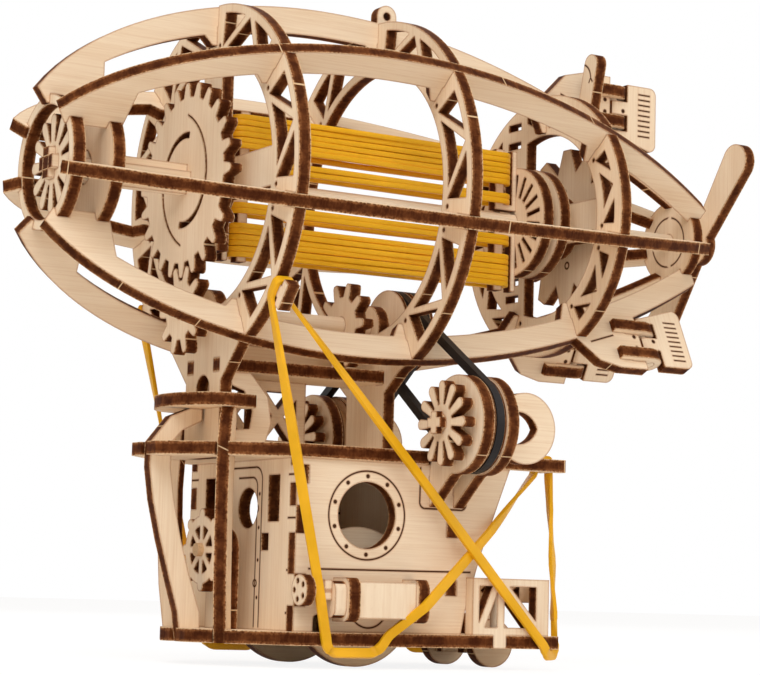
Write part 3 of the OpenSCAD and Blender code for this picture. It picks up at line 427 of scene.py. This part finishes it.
def engrave_front(pen):
    """Door outline with rivets and hinges on the cabin's front, and ticks beside the fingers."""
    foot, rivet_line, rivet, hinge_line, hinge = -101, -8.6, 0.36, -7.5, 0.75
    tick_start, tick_end = 21.9, 25.4
    for side, top, corner, end in ((-9.7, -65, 3, 5), (-7.5, -67.3, 2.3, 1.5)):
        pen.stroke(side, foot, side, top - corner)
        pen.arc(side + corner, top - corner, corner, 135, 45)
        pen.stroke(side + corner, top, end, top)
    for z in (-71.1, -78.7, -86, -94.4):
        pen.dot(rivet_line, z, rivet)
    for z in (-74.4, -91.2):
        pen.circle(hinge_line, z, hinge)
    for z in (-67.1, -76.7, -88.2, -97.6):
        for side in (-1, 1):
            pen.stroke(side * tick_start, z, side * tick_end, z)


def engrave_flap(pen):
    """Comb of short strokes along a flap's rear edge, and a dot behind the hinge."""
    teeth, first, step, start, end = 9, 26.4, 1.36, 122.3, 126
    for count in range(teeth):
        pen.stroke(start, first + count * step, end, first + count * step)
    pen.dot(117.4, 32.3, PIN_DOT)


def engrave_fin(pen):
    """Dots ahead of a hinge, and a short line on the fin."""
    for height in (34.6, 31.5):
        pen.dot(111.6, height, PIN_DOT)
    line_front, line_rear = (97.6, 34.1), (105.1, 31.6)
    pen.stroke(*line_front, *line_rear)


def engrave_tail(pen):
    """Broken circle round the shaft on the tail's disc."""
    radius = 6.4
    for towards, reach in ((180, 78), (52, 36), (-52, 36)):
        pen.arc(0, 0, radius, towards, reach)


def engrave_star(pen):
    """Ring marks near the star wheel's teeth."""
    radius, mark, first = 9.4, 0.8, 85
    for turn in range(0, 360, 90):
        angle = math.radians(first + turn)
        pen.circle(radius * math.cos(angle), radius * math.sin(angle), mark)


def engrave_lever(pen):
    """Two-headed arrow on the brake lever's grip."""
    u, v, radius, barb, spread = -5.4, 37.2, 4.1, 1.3, 35
    pen.arc(u, v, radius, 135, 44)
    for towards, back in ((91, -1), (179, 1)):
        angle = math.radians(towards)
        tip = (u + radius * math.cos(angle), v + radius * math.sin(angle))
        for side in (1, -1):
            lean = math.radians(towards - back * 90 + 180 + side * spread)
            pen.stroke(*tip, tip[0] + barb * math.cos(lean), tip[1] + barb * math.sin(lean))


# Which plates carry engraving, how, and the direction that counts across them
ENGRAVINGS = {
    "side_wall_near": (engrave_tank_wall, AXIS_X),
    "side_wall_far": (engrave_wall, AXIS_X),
    "front_wall": (engrave_front, AXIS_Y),
    "tail_disc": (engrave_tail, AXIS_Y),
    "star_wheel": (engrave_star, AXIS_Y),
    "brake_lever": (engrave_lever, AXIS_Y),
    "flap_top": (engrave_flap, AXIS_X),
    "flap_near": (engrave_flap, AXIS_X),
    "flap_far": (engrave_flap, AXIS_X),
    "rib_top": (engrave_fin, AXIS_X),
    "rib_lower_near": (engrave_fin, AXIS_X),
    "rib_lower_far": (engrave_fin, AXIS_X),
}
RIB_OF = {**{name: index for index, name in enumerate(RIBS)}, **FLAP_RIB}


def engraved(tree, looks, node):
    """Masks of a node's engraved lines and of the brown beside them."""
    draw, across = ENGRAVINGS[node]
    up = rib_radial(RIB_OF[node]) if node in RIB_OF else AXIS_Z
    origin = at(0, 0, 0)
    place = tree.place()
    u, v = ((tree.along(place, way) - origin.dot(way)) / MM for way in (across, up))
    pen = Engraver(u, v, looks.line / MM)
    draw(pen)
    halo_start, halo_end = pen.width * 0.4, pen.width * 1.5
    return pen.nearest < pen.width / 2, 1 - pen.nearest.ramp(halo_start, halo_end)


def burnt_edge(tree, looks, depth, spot):
    """Colour of a laser-cut edge: dark in the middle, toasted at the borders, with pale uncut nicks."""
    place = tree.place()
    soot = tree.noise(place, scale=330, detail=4.0, roughness=0.65)
    stroke = tree.stretched(spot, (1900, 1900, 130), detail=2.0, roughness=0.6)
    speckle = tree.noise(place, scale=2100, detail=2.0, roughness=0.6)
    shade = soot.ramp(0.36, 0.72) * 0.62 + stroke.ramp(0.45, 0.8) * 0.3
    colour = tree.mix(shade, tuple(looks.burn), tuple(looks.burn_light))
    level = abs(depth - 0.5) * 2
    warm = (level + (soot - 0.5) * 0.7).ramp(0.35, 1.0) * speckle.ramp(0.30, 0.62)
    colour = tree.mix(warm * 0.85, colour, tuple(looks.toast))
    rim = (level + (speckle - 0.5) * 0.46).ramp(0.84, 0.97)
    colour = tree.mix(rim * 0.8, colour, tuple(looks.border))
    nick_slant, nick_skipped, nick_margin = 0.61, 0.25, 0.15
    along, across = spot[:2]
    run = (along + across * nick_slant) / looks.nick_gap
    cell = run.math("FLOOR")
    chance = tree.make("ShaderNodeTexWhiteNoise", {"noise_dimensions": "1D"}, {"W": cell}, "Value")
    off = abs(run - cell - (chance * (1 - 2 * nick_margin) + nick_margin))
    nick = (off < looks.nick_width / looks.nick_gap / 2) * (chance > nick_skipped)
    return tree.mix(nick * 0.9, colour, tuple(looks.border)), stroke


def plywood(looks, node, normals, grain):
    """Birch plywood for one node: veneer on its plates' faces, burnt laser-cut edges all round."""
    tree = Tree("Plywood_" + node, PLY_SPECULAR)
    place, surface = tree.place(), tree.normal()
    plates = plates_of(node, normals, looks.sheet)
    slack, facing = 0.05 * MM, 0.7
    face, depth = None, None
    for normal, low, thick in plates:
        offset = tree.along(place, normal) - low
        inside = abs(offset - thick / 2) < thick / 2 + slack
        flat = (abs(tree.along(surface, normal)) > facing) * inside
        face = flat if face is None else face.either(flat)
        level = inside * (offset / thick)
        depth = level if depth is None else depth.either(level)
    main = plates[0][0]
    spot = [tree.along(place, way) for way in (grain, main.cross(grain), main)]
    veneer, fibre = birch(tree, looks, spot)
    singe = tree.near_edge(looks.singe).ramp(0.06, 0.45)
    veneer = tree.mix(singe * 0.8, veneer, tuple(looks.toast))
    burnt, stroke = burnt_edge(tree, looks, depth, spot)
    colour = tree.mix(face, burnt, veneer)
    if node in ENGRAVINGS:
        line, singed = engraved(tree, looks, node)
        colour = tree.mix(singed * face * 0.7, colour, tuple(looks.toast))
        colour = tree.mix(line * face * 0.95, colour, tuple(looks.engraving))
    height = fibre * face + stroke * (1 - face)
    return tree.finish(colour, wood_roughness(fibre), height, WOOD_RELIEF)


def wood_roughness(fibre):
    """Roughness of sanded birch, a little higher in its fibres."""
    return 0.6 + fibre * 0.14


def birch(tree, looks, spot):
    """Colour and fibres of birch at a spot, given along the grain, across it and through it."""
    fibre = tree.stretched(spot, (60, 2400, 900), detail=4.0, roughness=0.6)
    figure = tree.stretched(spot, (14, 150, 40), detail=2.0, roughness=0.5)
    fleck = tree.stretched(spot, (420, 3400, 900), detail=1.0, roughness=0.5)
    streak = fibre.ramp(0.35, 0.8) * 0.36 + figure.ramp(0.3, 0.75) * 0.24 + fleck.ramp(0.66, 0.78) * 0.14
    return tree.mix(streak, tuple(looks.veneer), tuple(looks.veneer_streak)), fibre


def dowel(looks, node, grain):
    """Turned birch with its fibres along the grain, about as fine through the rod as across it."""
    tree = Tree("Dowel_" + node, DOWEL_SPECULAR)
    finer_through = 2.6
    side = AXIS_Y if grain == AXIS_X else AXIS_X
    along, across, through = (tree.along(tree.place(), way) for way in (grain, side, grain.cross(side)))
    colour, fibre = birch(tree, looks, (along, across, through * finer_through))
    return tree.finish(colour, wood_roughness(fibre), fibre, WOOD_RELIEF)


def rubber(name, colour, roughness, counts):
    """Rubber with a faint bloom and fine lines, given as their counts along X, Y and Z."""
    tree = Tree(name, RUBBER_SPECULAR)
    place = tree.place()
    bloom = tree.noise(place, scale=90, detail=3.0, roughness=0.6)
    places = [tree.along(place, axis) for axis in (AXIS_X, AXIS_Y, AXIS_Z)]
    lines = tree.stretched(places, counts, detail=2.0, roughness=0.5)
    pale = tuple(min(1, c * 1.06 + 0.01) for c in colour)
    dark = tuple(c * 0.9 for c in colour)
    tone = tree.mix(bloom.ramp(0.3, 0.7) * 0.6 + lines.ramp(0.3, 0.7) * 0.4, dark, pale)
    return tree.finish(tone, roughness + bloom * 0.15, lines, RUBBER_RELIEF)


def wear(node, material):
    """Gives a piece one material all over."""
    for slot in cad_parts[node].material_slots:
        slot.material = material


def thicken(band, thickness, offset, round_off, sharp, smooth):
    """Gives a flat strip its thickness, rounds the edges sharper than an angle and smooths the rest."""
    solid = band.modifiers.new("thickness", "SOLIDIFY")
    solid.thickness = thickness
    solid.offset = offset
    bpy.ops.object.modifier_apply(modifier=solid.name)
    soft = band.modifiers.new("soft edges", "BEVEL")
    soft.width = round_off
    soft.segments = 2
    soft.limit_method = "ANGLE"
    soft.angle_limit = math.radians(sharp)
    bpy.ops.object.modifier_apply(modifier=soft.name)
    bpy.ops.object.shade_smooth_by_angle(angle=math.radians(smooth))


class AIRSHIP_OT_camera(bpy.types.Operator):
    """Stand the camera where the model is looked at from"""

    bl_idname = "airship.camera"
    bl_label = "Camera"

    def execute(self, context):
        stage = context.scene.airship_stage
        flat = math.cos(stage.pitch)
        forward = Vector((math.sin(stage.yaw) * flat, math.cos(stage.yaw) * flat, math.sin(stage.pitch)))
        level = Vector((math.cos(stage.yaw), -math.sin(stage.yaw), 0))
        up = level.cross(forward)
        right = math.cos(stage.roll) * level + math.sin(stage.roll) * up
        above = -math.sin(stage.roll) * level + math.cos(stage.roll) * up
        bpy.ops.object.camera_add()
        camera = context.object
        camera.name = "camera"
        turn = Matrix((right, above, -forward)).transposed().to_4x4()
        camera.matrix_world = Matrix.Translation(Vector(stage.camera_place)) @ turn
        camera.data.sensor_fit = "HORIZONTAL"
        camera.data.sensor_width = SENSOR
        camera.data.lens = stage.lens
        camera.data.clip_start = NEAREST
        camera.data.dof.use_dof = False
        context.scene.camera = camera
        return {"FINISHED"}


class AIRSHIP_OT_stage(bpy.types.Operator):
    """Lay the pale floor and hang the soft lamps"""

    bl_idname = "airship.stage"
    bl_label = "Floor and light"

    def execute(self, context):
        stage = context.scene.airship_stage
        bpy.ops.object.select_all(action="DESELECT")
        bpy.ops.mesh.primitive_plane_add(size=FLOOR_SIZE, location=(0, 0, -FLOOR_DROP))
        floor = context.object
        floor.name = "floor"
        bpy.ops.object.transform_apply(location=True)
        floor.data.materials.append(self.backdrop(stage))
        self.world(context, stage)
        self.lamps(context, stage)
        context.scene.view_settings.view_transform = "Standard"
        return {"FINISHED"}

    def backdrop(self, stage):
        """A white that glows for the camera, with enough of the plain floor left to keep a shadow."""
        glow_strength, glow_share, roughness = 1.08, 0.8, 0.9
        white = (*stage.floor, 1)
        tree = Tree("Floor")
        seen = tree.make("ShaderNodeLightPath", {}, [], "Is Camera Ray")
        glossy = tree.make("ShaderNodeLightPath", {}, [], "Is Glossy Ray")
        glow = tree.make("ShaderNodeEmission", {}, {"Color": white, "Strength": glow_strength})
        tree.shader.inputs["Base Color"].default_value = white
        tree.shader.inputs["Roughness"].default_value = roughness
        plain = Flow(tree, tree.shader.outputs[0])
        blend = tree.make("ShaderNodeMixShader", {}, [seen.either(glossy) * glow_share, plain, glow])
        tree.join(blend, tree.nodes["Material Output"].inputs["Surface"])
        return tree.material

    def lamps(self, context, stage):
        """Three soft lamps that look at the middle of the model."""
        middle = at(40, 0, -20)
        for name, place, size, power in (
            ("key_lamp", (-0.55, -0.75, 0.95), 0.9, stage.key_light),
            ("fill_lamp", (0.9, -0.6, 0.45), 0.8, stage.fill_light),
            ("back_lamp", (0.3, 0.9, 0.7), 0.8, stage.fill_light),
        ):
            bpy.ops.object.light_add(type="AREA", location=place)
            lamp = context.object
            lamp.name = name
            lamp.data.size = size
            lamp.data.energy = power
            lamp.data.color = stage.lamp_tint
            aim = middle - Vector(place)
            lamp.rotation_euler = aim.to_track_quat("-Z", "Y").to_euler()

    def world(self, context, stage):
        """White where the camera looks, and an even light elsewhere."""
        world = bpy.data.worlds.new("studio")
        world.use_nodes = True
        context.scene.world = world
        nodes, links = world.node_tree.nodes, world.node_tree.links
        background = nodes["Background"]
        path = nodes.new("ShaderNodeLightPath")
        either = nodes.new("ShaderNodeMath")
        either.operation = "MAXIMUM"
        links.new(path.outputs["Is Camera Ray"], either.inputs[0])
        links.new(path.outputs["Is Glossy Ray"], either.inputs[1])
        strength = nodes.new("ShaderNodeMapRange")
        strength.inputs["To Min"].default_value = stage.world_light
        strength.inputs["To Max"].default_value = 1.0
        links.new(either.outputs[0], strength.inputs["Value"])
        links.new(strength.outputs[0], background.inputs["Strength"])
        tint = nodes.new("ShaderNodeMix")
        tint.data_type = "RGBA"
        links.new(either.outputs[0], tint.inputs[0])
        tint.inputs[6].default_value = (*stage.world_tint, 1)
        tint.inputs[7].default_value = (1, 1, 1, 1)
        links.new(tint.outputs[2], background.inputs["Color"])


class AIRSHIP_OT_plywood(bpy.types.Operator):
    """Give every plate its birch faces, burnt edges and engraving"""

    bl_idname = "airship.plywood"
    bl_label = "Plywood"

    def execute(self, context):
        looks = context.scene.airship_looks
        bow = [Matrix.Rotation(turn, 3, "Z") @ AXIS_Y for turn in (0, BOW_TURN, -BOW_TURN)]
        radials = [rib_radial(k) for k in FLAP_RIB.values()]
        kinds = [(name, [AXIS_X], AXIS_Z) for name in CROSS_PLATES]
        kinds += [(name, [AXIS_Y], AXIS_X) for name in LONG_PLATES]
        kinds += [(name, [AXIS_Z], AXIS_X) for name in FLAT_PLATES]
        kinds += [(name, [rib_normal(k)], AXIS_X) for k, name in enumerate(RIBS)]
        kinds += [(name, [rib_normal(k)], rib_radial(k)) for name, k in FLAP_RIB.items()]
        kinds += [
            ("bow_ribs", bow, AXIS_Z),
            ("hinge_brackets", radials, AXIS_X),
            ("front_axle", [AXIS_Y, AXIS_Z], AXIS_X),
            ("tank", [AXIS_X, AXIS_Y], AXIS_Z),
            ("aft_truss", [AXIS_Y, AXIS_X], AXIS_Z),
        ]
        for name, normals, grain in kinds:
            wear(name, plywood(looks, name, normals, grain))
        for name, grain in RODS.items():
            wear(name, dowel(looks, name, grain))
        return {"FINISHED"}


class AIRSHIP_OT_belts(bpy.types.Operator):
    """Give the drive belts their black rubber"""

    bl_idname = "airship.belts"
    bl_label = "Drive belts"

    def execute(self, context):
        looks = context.scene.airship_looks
        black = rubber("Belt_rubber", tuple(looks.belt), BELT_ROUGHNESS, BELT_LINES)
        for name in BELTS:
            wear(name, black)
        return {"FINISHED"}


# The front ring's cleat on the far side: its angle below level, and the band's distance from the axis in mm
HOOK_ANGLE = math.radians(39.5)
HOOK_OUT = Vector((0, math.cos(HOOK_ANGLE), -math.sin(HOOK_ANGLE)))
HOOK_UP = Vector((0, math.sin(HOOK_ANGLE), math.cos(HOOK_ANGLE)))
HOOK_R = 43.3


def on_hook(x, up):
    """A place beside the neck of the front ring's cleat."""
    return Vector((x, 0, 0)) + HOOK_OUT * HOOK_R + HOOK_UP * up


# A rigging band's route on the far side in hull millimetres, each place with its width's direction
RIG_ROUTE = (
    (on_hook(-0.6, 2.0), HOOK_OUT),
    (on_hook(-0.6, -2.4), HOOK_OUT),
    (Vector((14.5, 30.7, -92.5)), Vector((1, 0.2, 0))),
    (Vector((17.2, 29.2, -102)), Vector((1, 0, 0.1))),
    (Vector((17.7, 29.2, -104.8)), Vector((1, 0, 0.3))),
    (Vector((19.6, 28.6, -106)), Vector((0, -0.4, 0.9))),
    (Vector((29.6, 28.6, -106)), Vector((0, -0.4, 0.9))),
    (Vector((31.5, 29.2, -104.8)), Vector((-1, 0, 0.3))),
    (Vector((33.4, 29.4, -102)), Vector((-0.7, 0, 0.6))),
    (Vector((40.4, 33.3, -95.5)), Vector((-0.65, 0, 0.75))),
    (Vector((60.8, 28, -78.2)), Vector((-0.6, 0.25, 0.7))),
    (Vector((77.2, 21.9, -63.7)), Vector((0, 1, 0))),
    (Vector((77.2, 21.9, -59.7)), Vector((0, 1, 0))),
    (Vector((81.4, 21.9, -59.7)), Vector((0, 1, 0))),
    (Vector((81.4, 21.9, -63.7)), Vector((0, 1, 0))),
    (Vector((81.5, 22.5, -71)), Vector((-0.2, 0.98, 0))),
    (Vector((81.6, 23.8, -84)), Vector((-0.87, 0.5, 0))),
    (Vector((81.5, 25, -97)), Vector((-0.2, 0.98, 0))),
    (Vector((81.4, 25.6, -104)), Vector((1, 0, 0))),
    (Vector((80.8, 26, -106)), Vector((0.4, 0, -0.9))),
    (Vector((76.6, 29.3, -106)), Vector((0, 0, -1))),
    (Vector((75.4, 29.9, -104)), Vector((-0.7, 0, -0.7))),
    (Vector((40, 31, -67)), Vector((-0.7, 0.2, -0.7))),
    (on_hook(3.6, -2.4), HOOK_OUT),
    (on_hook(3.6, 2.0), HOOK_OUT),
)


class AIRSHIP_OT_rigging(bpy.types.Operator):
    """Run a flat rubber band from the front ring round the gondola on each side"""

    bl_idname = "airship.rigging"
    bl_label = "Rigging bands"

    def execute(self, context):
        looks = context.scene.airship_looks
        yellow = rubber("Rigging_rubber", tuple(looks.rubber), BAND_ROUGHNESS, RIGGING_LINES)
        for name, side in (("near", -1), ("far", 1)):
            band = self.ribbon(context, self.samples(), side, looks)
            band.name = "rigging_band_" + name
            band.data.materials.append(yellow)
            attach(band, "frame")
            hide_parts("rigging_" + name)
        return {"FINISHED"}

    def beside(self, place, other):
        """Where the rounded corner at a place meets the straight stretch to another."""
        corner, most = 1.0, 0.4
        way = other - place
        return place + way.normalized() * min(corner, way.length * most)

    def samples(self):
        """Places and width directions all round the route, with its corners rounded."""
        spacing, turns = 3.0, 5
        rows = []
        for index, (place, width) in enumerate(RIG_ROUTE):
            before = RIG_ROUTE[index - 1][0]
            after, next_width = RIG_ROUTE[(index + 1) % len(RIG_ROUTE)]
            start, end = self.beside(place, before), self.beside(place, after)
            for step in range(turns):
                t = step / (turns - 1)
                rows.append((start * (1 - t) ** 2 + place * (2 * t * (1 - t)) + end * t ** 2, width))
            goal = self.beside(after, place)
            pieces = int((goal - end).length / spacing)
            for step in range(1, pieces):
                t = step / pieces
                rows.append((end.lerp(goal, t), width.lerp(next_width, t)))
        return rows

    def ribbon(self, context, rows, side, looks):
        """A closed flat band through the rows; side -1 mirrors it to the near side."""
        count = len(rows)
        swelling, swell_step = 0.05, 0.37
        half = looks.band_width / MM / 2
        bpy.ops.object.select_all(action="DESELECT")
        bpy.ops.mesh.primitive_cylinder_add(vertices=count, radius=1, depth=1, end_fill_type="NOTHING")
        band = context.object
        for vertex in band.data.vertices:
            index = round(math.atan2(vertex.co.y, vertex.co.x) / (2 * math.pi) * count) % count
            place, width = rows[index]
            ahead = (rows[(index + 1) % count][0] - rows[index - 1][0]).normalized()
            flat = (width - ahead * width.dot(ahead)).normalized()
            swell = 1 + swelling * math.sin(index * swell_step)
            point = place + flat * (half * swell * (1 if vertex.co.z > 0 else -1))
            vertex.co = at(point.x, point.y * side, point.z)
        bpy.ops.object.mode_set(mode="EDIT")
        bpy.ops.mesh.select_all(action="SELECT")
        bpy.ops.mesh.normals_make_consistent(inside=False)
        bpy.ops.object.mode_set(mode="OBJECT")
        thicken(band, looks.band_thickness, offset=0, round_off=0.16 * MM, sharp=50, smooth=40)
        return band


class AIRSHIP_OT_motor(bpy.types.Operator):
    """Stretch the rubber motor's bands between the two hooks"""

    bl_idname = "airship.motor"
    bl_label = "Rubber motor"

    def execute(self, context):
        looks = context.scene.airship_looks
        low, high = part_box("motor_bands")
        half = (high.y - low.y) / 2
        tall, thick, strand_gap = 1.3 * MM, 1.2 * MM, 1.27 * MM
        heights = (5.2, 10, 12.7, 15.4)
        rows = [side * height * MM for side in (1, -1) for height in heights]
        front, rear = low.x + half, high.x - half
        self.loop(context, front, rear, half, tall, thick)
        band = context.object
        strands = []
        for index, row in enumerate(rows):
            for part in (-0.5, 0.5):
                copy = band.copy()
                copy.data = band.data.copy()
                context.collection.objects.link(copy)
                self.slacken(copy.data, front, rear, index + part)
                foot = HULL_Z + row + part * strand_gap - tall / 2
                copy.data.transform(Matrix.Translation((0, 0, foot)))
                strands.append(copy)
        bpy.data.objects.remove(band)
        bpy.ops.object.select_all(action="DESELECT")
        for strand in strands:
            strand.select_set(True)
        context.view_layer.objects.active = strands[0]
        bpy.ops.object.join()
        bands = context.object
        bands.name = "rubber_motor"
        yellow = rubber("Motor_rubber", tuple(looks.rubber), BAND_ROUGHNESS, MOTOR_LINES)
        bands.data.materials.append(yellow)
        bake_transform(bands)
        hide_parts("motor_bands")
        return {"FINISHED"}

    def slacken(self, mesh, front, rear, phase):
        """Lets a strand wander a little between the hooks."""
        rise, rise_shift, rise_run = 0.09 * MM, 2.3, 5
        swing, swing_shift, swing_run = 0.35 * MM, 1.7, 3
        for vertex in mesh.vertices:
            t = min(1, max(0, (vertex.co.x - front) / (rear - front)))
            free = math.sin(math.pi * t)
            side = 1 if vertex.co.y > 0 else -1
            vertex.co.z += rise * free * math.sin(phase * rise_shift + t * rise_run + side)
            vertex.co.y += swing * free * math.sin(phase * swing_shift + t * swing_run) * side

    def loop(self, context, front, rear, half, tall, thick):
        """One flat band round two posts, standing on the plane z 0."""
        points, cuts, tiny = 32, 40, 1e-6
        bpy.ops.object.select_all(action="DESELECT")
        bpy.ops.mesh.primitive_circle_add(vertices=points, radius=half, location=(front, 0, 0))
        bpy.ops.object.transform_apply(location=True)
        mesh = context.object.data
        for vertex in mesh.vertices:
            vertex.co.x += (rear - front) * (vertex.co.x > front + tiny)
        bpy.ops.object.mode_set(mode="EDIT")
        bpy.ops.mesh.select_mode(type="EDGE")
        bpy.ops.mesh.select_all(action="DESELECT")
        bpy.ops.object.mode_set(mode="OBJECT")
        for edge in mesh.edges:
            ends = [mesh.vertices[i].co for i in edge.vertices]
            edge.select = (ends[0] - ends[1]).length > half * 2
        bpy.ops.object.mode_set(mode="EDIT")
        bpy.ops.mesh.subdivide(number_cuts=cuts)
        bpy.ops.mesh.select_mode(type="VERT")
        bpy.ops.mesh.select_all(action="SELECT")
        bpy.ops.mesh.extrude_region_move(TRANSFORM_OT_translate={"value": (0, 0, tall)})
        bpy.ops.mesh.select_all(action="SELECT")
        bpy.ops.mesh.normals_make_consistent(inside=False)
        bpy.ops.object.mode_set(mode="OBJECT")
        thicken(context.object, thick, offset=-1, round_off=0.25 * MM, sharp=30, smooth=50)


class AIRSHIP_PT_panel(bpy.types.Panel):
    """The airship's steps, in the order they are run"""

    bl_label = "Plywood airship"
    bl_idname = "AIRSHIP_PT_panel"
    bl_space_type = "VIEW_3D"
    bl_region_type = "UI"
    bl_category = "Airship"

    def draw(self, context):
        for step in STEPS:
            self.layout.operator(step.bl_idname)


STEPS = (AIRSHIP_OT_camera, AIRSHIP_OT_stage, AIRSHIP_OT_plywood, AIRSHIP_OT_belts, AIRSHIP_OT_rigging,
         AIRSHIP_OT_motor)
CLASSES = (AirshipLooks, AirshipStage, *STEPS, AIRSHIP_PT_panel)


def register():
    for cls in CLASSES:
        bpy.utils.register_class(cls)
    bpy.types.Scene.airship_looks = bpy.props.PointerProperty(type=AirshipLooks)
    bpy.types.Scene.airship_stage = bpy.props.PointerProperty(type=AirshipStage)


def unregister():
    del bpy.types.Scene.airship_stage
    del bpy.types.Scene.airship_looks
    for cls in reversed(CLASSES):
        bpy.utils.unregister_class(cls)


def main():
    register()
    bpy.ops.airship.camera()
    bpy.ops.airship.stage()
    bpy.ops.airship.plywood()
    bpy.ops.airship.belts()
    bpy.ops.airship.rigging()
    bpy.ops.airship.motor()
    bpy.context.view_layer.update()


if __name__ == "__main__":
    main()
